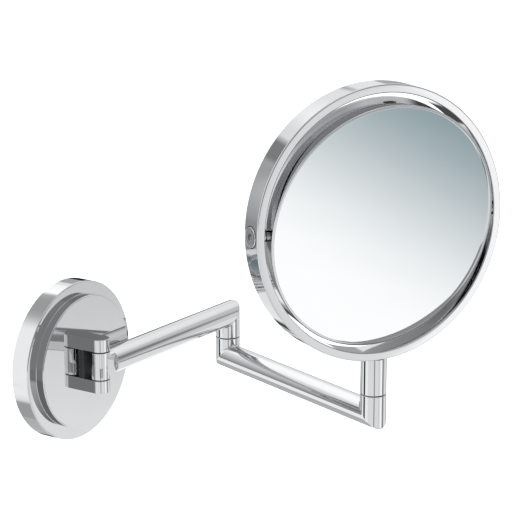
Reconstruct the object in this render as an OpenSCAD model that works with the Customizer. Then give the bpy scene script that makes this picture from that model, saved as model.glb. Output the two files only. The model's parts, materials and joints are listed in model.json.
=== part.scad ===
// Extendable shaving mirror: a wall rosette with a clevis, two folding tube arms,
// and a round ring frame on a post that carries a reversible two-faced mirror.
// Frame: the wall is the plane y = 0, the room is towards -y, and +z is up.
// The origin is the centre of the wall plate's back face.

/* [Mirror ring] */
// Outside diameter of the ring frame
ring_d = 198; // [180:1:202]
// Depth of the ring frame, front to back
ring_depth = 19; // [18.5:0.5:22]
// Radial thickness of the ring frame
ring_wall = 6.2; // [5.8:0.1:8]
// Height of the ring's centre above the inner arm's axis
ring_centre_z = 108; // [106:1:125]

/* [Mirror body] */
// Radial gap between the ring frame and the mirror body
body_gap = 3.8; // [3.5:0.1:5]
// Distance from the tilt axis to the front bezel's crown
body_front = 12.4; // [12:0.1:13]
// Distance from the tilt axis to the rear rim's crown
body_back = 11.4; // [11:0.1:12.5]
// Forward lean of the mirror body as stored, in degrees
body_tilt = 7.8; // [0:0.1:25]
// Radius of curvature of the magnifying glass
magnifier_r = 1000; // [900:50:2000]

/* [Arms] */
// Outside diameter of the arm tubes and the post
tube_d = 19; // [18:0.5:19.5]
// Wall thickness of the arm tubes
tube_wall = 1.5; // [1.2:0.1:2]
// Inner arm, from the wall pivot to the elbow
inner_arm = 161; // [150:1:180]
// Outer arm, from the elbow to the mirror post
outer_arm = 179; // [175:1:200]
// Height from the inner arm's axis down to the middle of the elbow joint
inner_drop = 18.1; // [17:0.1:22]
// Height from the outer arm's axis up to the middle of its joints
outer_rise = 15.7; // [15:0.1:20]

/* [Stored pose] */
// Turn of the outer arm, clockwise from the wall line as seen from above
outer_turn = 109.6; // [90:0.1:120]
// Turn of the ring frame from facing straight out of the wall
face_turn = 28.6; // [0:0.1:40]

/* [Wall rosette] */
// Diameter of the rosette's base disc
rosette_d = 117; // [112:1:125]
// Thickness of the rosette's base disc
rosette_t = 14.3; // [13.5:0.1:15]
// Diameter of the raised step
step_d = 98.2; // [92:0.1:104]
// Height of the raised step
step_t = 6.7; // [6:0.1:7.2]
// Distance from the wall to the wall pivot
pivot_out = 33.1; // [32.6:0.1:36]
// Circle on which the wall screws sit
screw_circle_d = 76; // [70:1:84]
// Wall screws
screw_count = 3; // [3:1:4]

/* [Clevis] */
// Width of the clevis and diameter of its round nose
clevis_w = 14; // [13:0.2:15]
// Height of the clevis over both lugs
clevis_h = 40.2; // [39:0.2:44]
// Height of the arm's knuckle between the lugs
knuckle_h = 19.8; // [19.6:0.1:21]
// Diameter of the wall pivot pin
pin_d = 8; // [7:0.5:8]

/* [Hidden] */
$fn = 96;

eps = 0.01;
move_gap = 0.1;      // between flat faces that slide on each other
run_gap = 0.05;      // radial clearance of every running fit
tube_r = tube_d / 2;
bore_r = tube_r - tube_wall;
edge_r = 0.8;        // rounding of the outer edges

// wall rosette and plate
rosette_r = rosette_d / 2;
step_r = step_d / 2;
face_y = -(rosette_t + step_t);
skin = 3;            // wall of the hollow rosette
plate_t = 6;
plate_r = rosette_r - skin - 0.3;
groove_r = plate_r - 2;
screw_r = 2.6;
sink_r = 5.2;
sink_h = 2.6;
rim_screw_r = 2;
rim_screw_y = -3;

// clevis
clevis_r = clevis_w / 2;
web_t = 1.6;
liner_t = 0.8;       // nylon channel round the web between the lugs
washer_t = 0.7;
slot_h = knuckle_h + 2 * washer_t + 2 * move_gap;
lug_h = (clevis_h - slot_h) / 2;
lug_z = (slot_h + lug_h) / 2;
pin_r = pin_d / 2;
pin_top = clevis_h / 2 - 3;
pin_bottom = -clevis_h / 2 + 4;
clevis_screw_r = 2.5;
clevis_screw_reach = 6.5;
knuckle_bush_r = pin_r + 1.5;
tube_start = clevis_r + 2.5;

// elbow and post joints
joint_gap = 0.6;
joint_washer_t = joint_gap - move_gap;
joint_z = -inner_drop;
drop_end_z = joint_z + joint_gap / 2;
riser_top_z = joint_z - joint_gap / 2;
outer_z = joint_z - outer_rise;
stud_r = 5;
stud_up = 13;
stud_down = 9;
stud_neck_r = 4;
stud_neck_z = riser_top_z + 7.5;
neck_h = 3;
grub_r = 2;
grub_nose_r = 1;

// ring frame, and the reversible body inside it
ring_r = ring_d / 2;
ring_in_r = ring_r - ring_wall;
body_r = ring_in_r - body_gap;
shell_t = 1.3;
shell_in_r = body_r - shell_t;
bezel_h = 2.4;
bezel_lip = 2;
rim_h = 5.6;
rim_lip = 2.2;
rim_edge_r = 1.8;
glass_t = 4;
glass_r = shell_in_r - 0.1;
front_glass_top = body_front - 1.2;
rear_glass_low = -(body_back - 1.2);
gasket_t = 1;
gasket_in_r = glass_r - 3.6;
spacer_in_r = glass_r - 9.6;
spacer_top = front_glass_top - glass_t - gasket_t;
spacer_low = rear_glass_low + glass_t + gasket_t;
shell_top = body_front - bezel_h;
shell_low = rim_h - body_back;
notch_w = 10;
notch_h = 5;
notch_at = 4;
tilt_pin_r = 3;
tilt_bush_r = 4.2;
tilt_reach = 9.5;    // how far the tilt pins enter the mirror body
tilt_washer_r = 4.6;
plug_r = 8;
plug_thread_r = 5;
plug_t = 3.6;
plug_proud = 0.5;
seal_w = 0.7;
seal_top = ring_r - 0.1;
seal_low = ring_r - 0.8;
ring_stud_r = 3;
ring_stud_up = 3.6;  // depth of the stud's blind bore in the ring
ring_stud_down = 8;  // and in the post

// ---- places ----------------------------------------------------------------

module at_wall_pivot() { translate([0, -pivot_out, 0]) children(); }

module at_elbow() { translate([inner_arm, -pivot_out, 0]) children(); }

// x runs along the outer arm towards the mirror
module along_outer_arm() { at_elbow() rotate([0, 0, -outer_turn]) children(); }

module at_post() { along_outer_arm() translate([outer_arm, 0, 0]) rotate([0, 0, outer_turn]) children(); }

// x runs to the ring's right-hand pivot, -y to the front
module in_ring() { at_post() translate([0, 0, ring_centre_z]) rotate([0, 0, -face_turn]) children(); }

module in_body() { in_ring() rotate([body_tilt, 0, 0]) children(); }

// turns a shape drawn up the z axis to point out of the front
module to_front() { rotate([90, 0, 0]) children(); }

// turns a shape drawn up the z axis to point out of a side: 1 right, -1 left
module to_side(side) { rotate([0, side * 90, 0]) children(); }

// ---- shared shapes ---------------------------------------------------------

// points of a quarter round of radius r about a centre, from angle a to a + 90
function quarter(centre_x, centre_y, r, a) =
    [for (i = [0:3]) [centre_x + r * cos(a + 30 * i), centre_y + r * sin(a + 30 * i)]];

// height of the magnifying glass's surface above its rim, at distance r from the middle
function bowl(r) = (pow(glass_r, 2) - pow(r, 2)) / (2 * magnifier_r);

// a plain pipe up the z axis
module pipe(outer_r, inner_r, low, high) {
    difference() {
        translate([0, 0, low]) cylinder(r = outer_r, h = high - low);
        translate([0, 0, low - 1]) cylinder(r = inner_r, h = high - low + 2);
    }
}

// everything past a plane through the origin whose normal leans by turn from z towards x
module beyond(turn) {
    reach = 3 * tube_d;
    rotate([0, turn, 0]) translate([-reach, -reach, 0]) cube(2 * reach);
}

// arm tube along x
module arm_tube(low, high) { rotate([0, 90, 0]) pipe(tube_r, bore_r, low, high); }

// grub screw up the z axis: a dog point below, a hexagon socket in its top
module grub_screw(r, low, high, nose_r, nose_low) {
    socket = 1.8;
    difference() {
        union() {
            translate([0, 0, low]) cylinder(r = r, h = high - low);
            translate([0, 0, nose_low]) cylinder(r = nose_r, h = low - nose_low + eps);
        }
        translate([0, 0, high - socket]) cylinder(r = r * 0.55, h = socket + 1, $fn = 6);
    }
}

// pivot stud: a plug in the riser below, and a turned pin with a locking neck above
module stud() {
    difference() {
        union() {
            translate([0, 0, riser_top_z - stud_down]) cylinder(r = bore_r, h = stud_down);
            translate([0, 0, riser_top_z - eps]) cylinder(r = stud_r, h = stud_up + eps);
        }
        pipe(stud_r + 1, stud_neck_r, stud_neck_z - neck_h / 2, stud_neck_z + neck_h / 2);
    }
}

module stud_bore() {
    translate([0, 0, drop_end_z - 1])
        cylinder(r = stud_r + run_gap, h = riser_top_z + stud_up + 0.5 - drop_end_z + 1);
}

module joint_washer() { pipe(tube_r - 0.3, stud_r, riser_top_z, riser_top_z + joint_washer_t); }

// runs from the stud's neck out of the wall side
module at_stud_neck() { translate([0, 0, stud_neck_z]) rotate([-90, 0, 0]) children(); }

module locking_screw() {
    at_stud_neck() grub_screw(grub_r, stud_r + 0.6, tube_r - 0.3, grub_nose_r, stud_neck_r + 0.2);
}

module locking_screw_hole() {
    at_stud_neck() translate([0, 0, stud_neck_r]) cylinder(r = grub_r, h = tube_d);
}

// ---- wall body -------------------------------------------------------------

module wall_plate() {
    color("silver") difference() {
        to_front() rotate_extrude()
            polygon([
                [0, 0], [plate_r, 0], [plate_r, 0.8], [groove_r, 1.6],
                [groove_r, 4.4], [plate_r, 5.2], [plate_r, plate_t], [0, plate_t]
            ]);
        for (i = [0:screw_count - 1])
            rotate([0, 360 * i / screw_count, 0]) translate([0, 0, screw_circle_d / 2]) to_front() {
                translate([0, 0, -1]) cylinder(r = screw_r, h = plate_t + 2);
                translate([0, 0, plate_t - sink_h]) cylinder(r1 = screw_r, r2 = sink_r, h = sink_h + eps);
            }
    }
}

module rosette() {
    color("gainsboro") difference() {
        to_front() rotate_extrude()
            polygon(concat(
                [[0, rosette_t + step_t - skin], [step_r - skin, rosette_t + step_t - skin]],
                [[step_r - skin, rosette_t - skin], [rosette_r - skin, rosette_t - skin]],
                [[rosette_r - skin, 0], [rosette_r, 0]],
                quarter(rosette_r - edge_r, rosette_t - edge_r, edge_r, 0),
                [[step_r, rosette_t]],
                quarter(step_r - edge_r, rosette_t + step_t - edge_r, edge_r, 0),
                [[0, rosette_t + step_t]]
            ));
        for (side = [-1, 1])
            translate([0, -rosette_t, side * lug_z]) to_front() cylinder(r = clevis_screw_r, h = 2 * step_t);
        translate([0, rim_screw_y, -rosette_r - 1]) cylinder(r = rim_screw_r, h = skin + 2);
    }
}

module rosette_grub_screw() {
    color("dimgray") translate([0, rim_screw_y, 0]) rotate([180, 0, 0])
        grub_screw(rim_screw_r, plate_r + 0.1, rosette_r - 0.4, 1.2, groove_r);
}

module clevis_bracket() {
    color("gainsboro") difference() {
        union() {
            for (side = [-1, 1]) translate([0, 0, side * lug_z - lug_h / 2]) {
                at_wall_pivot() cylinder(r = clevis_r, h = lug_h);
                translate([-clevis_r, -pivot_out, 0]) cube([clevis_w, pivot_out + face_y, lug_h]);
            }
            translate([liner_t - clevis_r, face_y - web_t, -clevis_h / 2])
                cube([clevis_w - 2 * liner_t, web_t, clevis_h]);
        }
        at_wall_pivot() translate([0, 0, -clevis_h / 2 - 1])
            cylinder(r = pin_r, h = pin_top + clevis_h / 2 + 1);
        for (side = [-1, 1])
            translate([0, face_y + 1, side * lug_z]) to_front()
                cylinder(r = clevis_screw_r, h = clevis_screw_reach + 1);
    }
}

module clevis_liner() {
    color("black") difference() {
        translate([-clevis_r, face_y - web_t - liner_t, -slot_h / 2])
            cube([clevis_w, web_t + liner_t, slot_h]);
        translate([liner_t - clevis_r, face_y - web_t, -slot_h])
            cube([clevis_w - 2 * liner_t, 2 * web_t, 2 * slot_h]);
    }
}

module clevis_screws() {
    head_r = 4.4;
    head_h = 3.4;
    socket = 2;
    color("dimgray") for (side = [-1, 1])
        translate([0, face_y + skin, side * lug_z]) {
            to_front() cylinder(r = clevis_screw_r, h = skin + clevis_screw_reach - 0.3);
            rotate([-90, 0, 0]) difference() {
                cylinder(r = head_r, h = head_h);
                translate([0, 0, head_h - socket]) cylinder(r = 2.3, h = socket + 1, $fn = 6);
            }
        }
}

module clevis_pivot_pin() {
    color("silver") at_wall_pivot() translate([0, 0, pin_bottom])
        cylinder(r = pin_r, h = pin_top - pin_bottom);
}

module pin_grub_screw() {
    low = -clevis_h / 2 + 0.3;
    color("dimgray") at_wall_pivot() difference() {
        translate([0, 0, low]) cylinder(r = pin_r, h = pin_bottom - low);
        translate([0, 0, low - 1]) cylinder(r = 2.3, h = 3, $fn = 6);
    }
}

module pivot_washer(low) { at_wall_pivot() pipe(clevis_r - 0.3, pin_r, low, low + washer_t); }

module upper_pivot_washer() { color("black") pivot_washer(slot_h / 2 - washer_t); }

module lower_pivot_washer() { color("black") pivot_washer(-slot_h / 2); }

// ---- inner arm -------------------------------------------------------------

module inner_arm_knuckle() {
    plug_l = 14;
    color("gainsboro") at_wall_pivot() difference() {
        union() {
            translate([0, 0, -knuckle_h / 2]) cylinder(r = clevis_r, h = knuckle_h);
            intersection() {
                rotate([0, 90, 0]) cylinder(r = tube_r, h = tube_start);
                translate([0, -clevis_r, -tube_d]) cube([tube_start, clevis_w, 2 * tube_d]);
            }
            translate([tube_start - eps, 0, 0]) rotate([0, 90, 0]) cylinder(r = bore_r, h = plug_l);
        }
        translate([0, 0, -knuckle_h]) cylinder(r = knuckle_bush_r, h = 2 * knuckle_h);
    }
}

module knuckle_bush() {
    color("wheat") at_wall_pivot() pipe(knuckle_bush_r, pin_r + run_gap, -knuckle_h / 2, knuckle_h / 2);
}

module inner_arm_tube() {
    color("gainsboro") at_elbow() difference() {
        arm_tube(tube_start - inner_arm, tube_r);
        beyond(135);
    }
}

module inner_arm_drop() {
    color("gainsboro") at_elbow() difference() {
        pipe(tube_r, bore_r, drop_end_z, tube_r);
        beyond(-45);
        locking_screw_hole();
    }
}

module elbow_bush() {
    color("goldenrod") at_elbow() difference() {
        translate([0, 0, drop_end_z]) cylinder(r = bore_r, h = stud_up + 1.4);
        stud_bore();
        locking_screw_hole();
    }
}

module elbow_grub_screw() { color("dimgray") at_elbow() locking_screw(); }

// ---- outer arm -------------------------------------------------------------

module elbow_stud() { color("goldenrod") at_elbow() stud(); }

module elbow_washer() { color("black") at_elbow() joint_washer(); }

module outer_arm_elbow_riser() {
    color("gainsboro") along_outer_arm() translate([0, 0, outer_z]) difference() {
        pipe(tube_r, bore_r, -tube_r, riser_top_z - outer_z);
        beyond(135);
    }
}

module outer_arm_tube() {
    color("gainsboro") along_outer_arm() translate([0, 0, outer_z]) difference() {
        arm_tube(-tube_r, outer_arm + tube_r);
        beyond(-45);
        translate([outer_arm, 0, 0]) beyond(45);
    }
}

module outer_arm_post_riser() {
    color("gainsboro") along_outer_arm() translate([outer_arm, 0, outer_z]) difference() {
        pipe(tube_r, bore_r, -tube_r, riser_top_z - outer_z);
        beyond(-135);
    }
}

module post_stud() { color("goldenrod") at_post() stud(); }

module post_washer() { color("black") at_post() joint_washer(); }

// ---- ring frame body -------------------------------------------------------

module mirror_post() {
    color("gainsboro") difference() {
        at_post() translate([0, 0, drop_end_z])
            cylinder(r = tube_r, h = ring_centre_z - ring_in_r - drop_end_z);
        in_ring() to_front() cylinder(r = ring_r, h = 3 * ring_depth, center = true);
        in_ring() translate([0, 0, -ring_centre_z]) {
            stud_bore();
            locking_screw_hole();
        }
        ring_stud_bores();
    }
}

module post_grub_screw() { color("dimgray") in_ring() translate([0, 0, -ring_centre_z]) locking_screw(); }

// at the ring's lowest point, z pointing up
module at_ring_foot() { in_ring() translate([0, 0, -ring_r]) children(); }

module ring_stud_bores() {
    at_ring_foot() translate([0, 0, -ring_stud_down])
        cylinder(r = ring_stud_r, h = ring_stud_down + ring_stud_up);
}

module ring_stud() {
    end_gap = 0.4;
    color("goldenrod") at_ring_foot() translate([0, 0, end_gap - ring_stud_down])
        cylinder(r = ring_stud_r, h = ring_stud_down + ring_stud_up - 2 * end_gap);
}

module ring_frame() {
    half = ring_depth / 2;
    color("gainsboro") difference() {
        in_ring() to_front() rotate_extrude($fn = 192)
            polygon(concat(
                [[ring_in_r, -half + edge_r], [ring_in_r + edge_r, -half]],
                quarter(ring_r - edge_r, -half + edge_r, edge_r, -90),
                quarter(ring_r - edge_r, half - edge_r, edge_r, 0),
                [[ring_in_r + edge_r, half], [ring_in_r, half - edge_r]]
            ));
        for (side = [-1, 1])
            in_ring() to_side(side) {
                translate([0, 0, ring_r - plug_t]) cylinder(r = plug_r, h = 2 * plug_t);
                translate([0, 0, ring_in_r - 2]) cylinder(r = plug_thread_r, h = ring_wall);
            }
        ring_stud_bores();
    }
}

module pivot_plug(side) {
    socket = 2.6;
    in_ring() to_side(side) difference() {
        union() {
            translate([0, 0, ring_r - plug_t]) cylinder(r = plug_r - 0.1, h = seal_low - ring_r + plug_t);
            translate([0, 0, ring_r - plug_t]) cylinder(r = plug_r - seal_w, h = plug_t + plug_proud);
            translate([0, 0, ring_in_r]) cylinder(r = plug_thread_r, h = ring_wall - plug_t + eps);
            translate([0, 0, body_r - tilt_reach]) cylinder(r = tilt_pin_r, h = tilt_reach + body_gap + eps);
        }
        translate([0, 0, ring_r + plug_proud - socket]) cylinder(r = 3, h = socket + 1, $fn = 6);
    }
}

module left_pivot_plug() { color("silver") pivot_plug(-1); }

module right_pivot_plug() { color("silver") pivot_plug(1); }

module plug_seal(side) {
    in_ring() to_side(side) pipe(plug_r, plug_r - seal_w, seal_low, seal_top);
}

module left_plug_seal() { color("black") plug_seal(-1); }

module right_plug_seal() { color("black") plug_seal(1); }

module tilt_washer(side) {
    in_ring() to_side(side) pipe(tilt_washer_r, tilt_pin_r, body_r + 0.2, ring_in_r - 0.3);
}

module left_tilt_washer() { color("silver") tilt_washer(-1); }

module right_tilt_washer() { color("silver") tilt_washer(1); }

// ---- mirror body -----------------------------------------------------------

// bores for the two tilt bushes
module tilt_bores() {
    for (side = [-1, 1])
        to_side(side) translate([0, 0, spacer_in_r - 1])
            cylinder(r = tilt_bush_r, h = ring_r - spacer_in_r);
}

module drum_shell() {
    color("gainsboro") in_body() difference() {
        to_front() rotate_extrude($fn = 192)
            polygon([
                [shell_in_r, shell_low], [body_r, shell_low],
                [body_r, shell_top], [shell_in_r, shell_top]
            ]);
        tilt_bores();
        translate([0, -notch_at, spacer_in_r]) {
            for (side = [-1, 1])
                translate([side * (notch_w - notch_h) / 2, 0, 0])
                    cylinder(r = notch_h / 2, h = ring_r - spacer_in_r);
            translate([-(notch_w - notch_h) / 2, -notch_h / 2, 0])
                cube([notch_w - notch_h, notch_h, ring_r - spacer_in_r]);
        }
    }
}

module front_bezel() {
    lip_r = body_r - bezel_lip;
    color("gainsboro") in_body() to_front() rotate_extrude($fn = 192)
        polygon(concat(
            [[shell_in_r, shell_top], [body_r, shell_top]],
            quarter(body_r - edge_r, body_front - edge_r, edge_r, 0),
            [[lip_r + 0.3, body_front], [lip_r, body_front - 0.3]],
            [[lip_r, front_glass_top], [shell_in_r, front_glass_top]]
        ));
}

module rear_rim() {
    lip_r = body_r - rim_lip;
    part_line = 0.3;
    color("silver") in_body() to_front() rotate_extrude($fn = 192)
        polygon(concat(
            [[shell_in_r, rear_glass_low], [lip_r, rear_glass_low], [lip_r, -body_back]],
            quarter(body_r - rim_edge_r, rim_edge_r - body_back, rim_edge_r, -90),
            [[body_r, shell_low - part_line], [body_r - part_line, shell_low], [shell_in_r, shell_low]]
        ));
}

module plain_mirror_glass() {
    color("lightsteelblue") in_body() to_front() translate([0, 0, front_glass_top - glass_t])
        cylinder(r = glass_r, h = glass_t, $fn = 192);
}

module magnifying_mirror_glass() {
    steps = 12;
    radii = [for (i = [0:steps]) glass_r * i / steps];
    color("lightsteelblue") in_body() to_front() translate([0, 0, rear_glass_low]) rotate_extrude($fn = 192)
        polygon(concat(
            [for (r = radii) [r, bowl(r)]],
            [for (i = [steps:-1:0]) [radii[i], bowl(radii[i]) + glass_t]]
        ));
}

module spacer_ring() {
    color("dimgray") in_body() difference() {
        to_front() pipe(glass_r, spacer_in_r, spacer_low, spacer_top);
        tilt_bores();
    }
}

module front_gasket() {
    color("black") in_body() to_front() pipe(glass_r, gasket_in_r, spacer_top, spacer_top + gasket_t);
}

module rear_gasket() {
    color("black") in_body() to_front()
        pipe(glass_r, gasket_in_r, spacer_low - gasket_t + bowl(gasket_in_r), spacer_low);
}

module tilt_bush(side) {
    in_body() to_side(side) pipe(tilt_bush_r, tilt_pin_r + run_gap, spacer_in_r + 0.5, body_r - 0.2);
}

module left_tilt_bush() { color("white") tilt_bush(-1); }

module right_tilt_bush() { color("white") tilt_bush(1); }

wall_plate();
rosette();
rosette_grub_screw();
clevis_bracket();
clevis_liner();
clevis_screws();
clevis_pivot_pin();
pin_grub_screw();
upper_pivot_washer();
lower_pivot_washer();
inner_arm_knuckle();
knuckle_bush();
inner_arm_tube();
inner_arm_drop();
elbow_bush();
elbow_grub_screw();
elbow_stud();
elbow_washer();
outer_arm_elbow_riser();
outer_arm_tube();
outer_arm_post_riser();
post_stud();
post_washer();
mirror_post();
post_grub_screw();
ring_stud();
ring_frame();
left_pivot_plug();
right_pivot_plug();
left_plug_seal();
right_plug_seal();
left_tilt_washer();
right_tilt_washer();
drum_shell();
front_bezel();
rear_rim();
plain_mirror_glass();
magnifying_mirror_glass();
spacer_ring();
front_gasket();
rear_gasket();
left_tilt_bush();
right_tilt_bush();
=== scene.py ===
"""Looks of the extendable shaving mirror: polished tubes, ring and drum in a white studio.

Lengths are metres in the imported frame: the wall is y = 0, the room is towards -y, +z is up.
"""

import json
import math

import bmesh
import bpy
import numpy as np
from mathutils import Matrix, Vector

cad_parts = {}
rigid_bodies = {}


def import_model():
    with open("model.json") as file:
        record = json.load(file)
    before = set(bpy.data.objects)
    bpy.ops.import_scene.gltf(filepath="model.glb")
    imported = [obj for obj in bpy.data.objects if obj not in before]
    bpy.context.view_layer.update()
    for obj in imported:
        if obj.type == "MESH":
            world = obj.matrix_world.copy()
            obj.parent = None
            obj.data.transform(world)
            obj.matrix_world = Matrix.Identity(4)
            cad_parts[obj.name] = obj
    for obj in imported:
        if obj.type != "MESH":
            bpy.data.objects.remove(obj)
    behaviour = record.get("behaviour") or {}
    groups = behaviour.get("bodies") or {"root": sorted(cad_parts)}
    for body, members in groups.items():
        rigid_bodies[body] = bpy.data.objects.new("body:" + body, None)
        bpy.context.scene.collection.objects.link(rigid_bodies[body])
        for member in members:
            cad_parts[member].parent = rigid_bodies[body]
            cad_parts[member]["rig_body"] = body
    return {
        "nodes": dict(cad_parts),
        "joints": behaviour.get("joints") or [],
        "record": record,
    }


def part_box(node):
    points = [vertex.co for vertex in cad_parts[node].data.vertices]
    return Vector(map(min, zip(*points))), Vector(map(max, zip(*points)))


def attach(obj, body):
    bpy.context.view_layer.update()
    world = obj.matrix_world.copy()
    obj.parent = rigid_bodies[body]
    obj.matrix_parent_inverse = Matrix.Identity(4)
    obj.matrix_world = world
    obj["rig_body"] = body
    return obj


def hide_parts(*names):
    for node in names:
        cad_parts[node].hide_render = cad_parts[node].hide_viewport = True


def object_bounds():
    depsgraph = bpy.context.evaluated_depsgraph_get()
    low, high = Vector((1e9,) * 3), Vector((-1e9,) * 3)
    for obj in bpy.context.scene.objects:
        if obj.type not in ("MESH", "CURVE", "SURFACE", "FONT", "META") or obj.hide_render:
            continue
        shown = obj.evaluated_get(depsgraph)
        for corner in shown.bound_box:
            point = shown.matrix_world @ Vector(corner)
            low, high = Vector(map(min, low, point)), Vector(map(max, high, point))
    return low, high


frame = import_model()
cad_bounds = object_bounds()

MM = 0.001
X, Y, Z = Vector((1, 0, 0)), Vector((0, 1, 0)), Vector((0, 0, 1))

JOINTS = {j["name"]: j for j in frame["joints"]}
SLOTS = {p["node"]: p["material_slot"] for p in frame["record"]["subparts"]}

# ---- sizes that the CAD boxes don't give ------------------------------------

EDGE = 0.8 * MM            # rounding of the turned outer edges
RING_EDGE = 1.0 * MM       # rounding of the ring frame's edges
SMALL_EDGE = 0.4 * MM      # rounding of small parts
FINE_EDGE = 0.25 * MM      # rounding of bored and pressed edges
TUBE_WALL = 1.5 * MM
MITRE_ROUND = 1.3 * MM     # how far a polished mitre is rounded over
STEP_HEIGHT = 6.7 * MM     # raised step of the rosette
STEP_RADIUS = 49.1 * MM
SKIN = 3 * MM              # wall of the hollow rosette
WEB = 1.6 * MM             # plate that joins the clevis lugs
PAINTED_SHADE_LINER_WALL = 0.8 * MM           # wall of the black nylon channel round that plate, a dark part that paints the shade between the lugs
NECK_RISE = 7.5 * MM       # middle of a stud's neck above its riser
NECK_RADIUS = 4 * MM       # radius of that neck
STUD_RADIUS = 5 * MM
BODY_LEAN = math.radians(7.8)
RIM_EDGE = 1.8 * MM
RIM_LINE = 0.3 * MM        # broken edges of the front bezel and the rear rim
BEZEL_LIP = 2 * MM
RIM_LIP = 2.2 * MM
SHELL_WALL = 1.3 * MM
GLASS = 4 * MM
GLASS_SUNK = 1.2 * MM      # how far a glass lies below its rim's crown
MAGNIFIER_RADIUS = 1000 * MM
NOTCH = (10 * MM, 5 * MM)  # finger notch in the drum, long and wide
NOTCH_AT = 4 * MM          # its place in front of the tilt axis
PLUG_HEAD = 4.1 * MM       # height of a pivot plug's head
PLUG_PROUD = 0.5 * MM
SCREW_CIRCLE = 38 * MM     # radius that the wall screws stand on
SCREW_COUNT = 3
SCREW_SHANK = 0.58         # a clevis screw's shank, as a share of its head
GRUB_PLAY = 1.03           # bore of the rosette's grub screw, as a share of its thread
RUN_GAP = 0.05 * MM        # radial clearance of a stud in its bore
RING_STUD = 3 * MM         # radius of the blind stud between ring and post
RING_STUD_DOWN = 8 * MM
RING_STUD_UP = 3.6 * MM
RING_DEPTH = 19 * MM
RING_WALL = 6.2 * MM
BODY_GAP = 3.8 * MM        # between the ring and the drum
BODY_FRONT = 12.4 * MM     # from the tilt axis to the front bezel's crown
BODY_BACK = 11.4 * MM
BEZEL_HEIGHT = 2.4 * MM
RIM_HEIGHT = 5.6 * MM
GLASS_PLAY = 0.1 * MM
SEAL_WALL = 0.7 * MM
SEAL_DEPTH = 0.8 * MM      # seal's seat below the ring's outer wall
TILT_PIN = 3 * MM
PLUG_SEAT_BORE = 5 * MM    # radius of a plug's shoulder and of the hole for it
CUT = 1 * MM               # how far a cutter stands out past what it cuts
PLUG_LAP = 0.01 * MM       # how far the knuckle's plug reaches into the knuckle
THIN_EDGE = 0.15 * MM      # broken edges of washers and the liner

BIG_RING = 288             # segments round the ring and the drum
TUBE_RING = 128            # segments round a tube
SMALL_RING = 64            # segments round a pin or a bore
SQUARE_STEPS = 4           # steps round the edge of a square-cut tube end
MITRE_STEPS = 5            # steps round the edge of a mitred tube end
NOSE_STEPS = 48            # segments round the clevis's nose
NOTCH_STEPS = 24           # segments round one end of the finger notch
DISH_STEPS = 40            # rings across the dished glass
BEVEL_STEPS = 3
BEVEL_ANGLE = math.radians(40)
SHARP_ANGLE = math.radians(32)


def size(node):
    """Edge lengths of a CAD node's box."""
    low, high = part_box(node)
    return high - low


pivot = Vector(JOINTS["wall_swing"]["pos_m"])
elbow = Vector(JOINTS["elbow_swing"]["pos_m"])
post = Vector(JOINTS["post_swivel"]["pos_m"])
ring_centre = Vector(JOINTS["mirror_tilt"]["pos_m"])
ring_across = Vector(JOINTS["mirror_tilt"]["axis"]).normalized()
ring_back = Z.cross(ring_across)
outer_along = (post - elbow).normalized()

tube_radius = size("inner_arm_drop").x / 2
bore_radius = tube_radius - TUBE_WALL
outer_axis_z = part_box("outer_arm_tube")[0].z + tube_radius
drop_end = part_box("inner_arm_drop")[0].z
riser_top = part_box("outer_arm_elbow_riser")[1].z
stud_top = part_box("elbow_stud")[1].z
grub_radius = size("rosette_grub_screw").x / 2

rosette_radius = size("rosette").x / 2
face = size("rosette").y
base_height = face - STEP_HEIGHT
plate_radius = size("wall_plate").z / 2
plate_height = size("wall_plate").y
clevis_radius = size("clevis_bracket").x / 2
clevis_height = size("clevis_bracket").z
slot_height = 2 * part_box("upper_pivot_washer")[1].z
lug_middle = (clevis_height + slot_height) / 4
knuckle_height = size("knuckle_bush").z
knuckle_bore = size("knuckle_bush").x / 2
pin_radius = size("clevis_pivot_pin").x / 2
tube_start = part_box("inner_arm_tube")[0].x

ring_radius = size("ring_frame").z / 2
ring_half = RING_DEPTH / 2
ring_bore = ring_radius - RING_WALL
body_radius = ring_bore - BODY_GAP
shell_front = BODY_FRONT - BEZEL_HEIGHT
shell_back = BODY_BACK - RIM_HEIGHT
shell_bore = body_radius - SHELL_WALL
glass_radius = shell_bore - GLASS_PLAY
plug_radius = size("left_pivot_plug").z / 2
seal_radius = size("left_plug_seal").z / 2
seal_bore = seal_radius - SEAL_WALL
seal_low = ring_radius - SEAL_DEPTH
tilt_bush = size("left_tilt_bush").z / 2

# ---- places -------------------------------------------------------------------


def placed(origin, along, side=None):
    """A matrix that puts z along a direction and x towards a side, or towards +x or +z."""
    z = along.normalized()
    x = (side or (X if abs(z.x) < 0.9 else Z)).normalized()
    x = (x - z * x.dot(z)).normalized()
    y = z.cross(x)
    return Matrix.Translation(origin) @ Matrix((x, y, z)).transposed().to_4x4()


on_wall = placed(Vector(), -Y, X)
ring_basis = Matrix((ring_across, ring_back, Z)).transposed().to_4x4()
in_ring = Matrix.Translation(ring_centre) @ ring_basis
in_body = in_ring @ Matrix.Rotation(BODY_LEAN, 4, "X")
to_front = Matrix.Rotation(math.radians(90), 4, "X")


SIDES = {"left": -1, "right": 1}


def to_side(side):
    """Points z out of the ring's right-hand side (1) or left-hand side (-1)."""
    return Matrix.Rotation(math.radians(90 * side), 4, "Y")


# ---- mesh helpers -------------------------------------------------------------


def arc(centre_r, centre_h, radius, start, end, steps=6):
    """Points of a round arc in a lathe profile, between two angles in degrees."""
    turns = (math.radians(start + (end - start) * i / steps) for i in range(steps + 1))
    return [(centre_r + radius * math.cos(a), centre_h + radius * math.sin(a)) for a in turns]


def around(count):
    """Unit vectors round the z axis."""
    turns = (2 * math.pi * i / count for i in range(count))
    return [Vector((math.cos(a), math.sin(a), 0)) for a in turns]


def finished(mesh):
    """A bmesh as a mesh, with its faces turned outwards."""
    bmesh.ops.recalc_face_normals(mesh, faces=mesh.faces)
    made = bpy.data.meshes.new("made")
    mesh.to_mesh(made)
    mesh.free()
    return made


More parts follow.
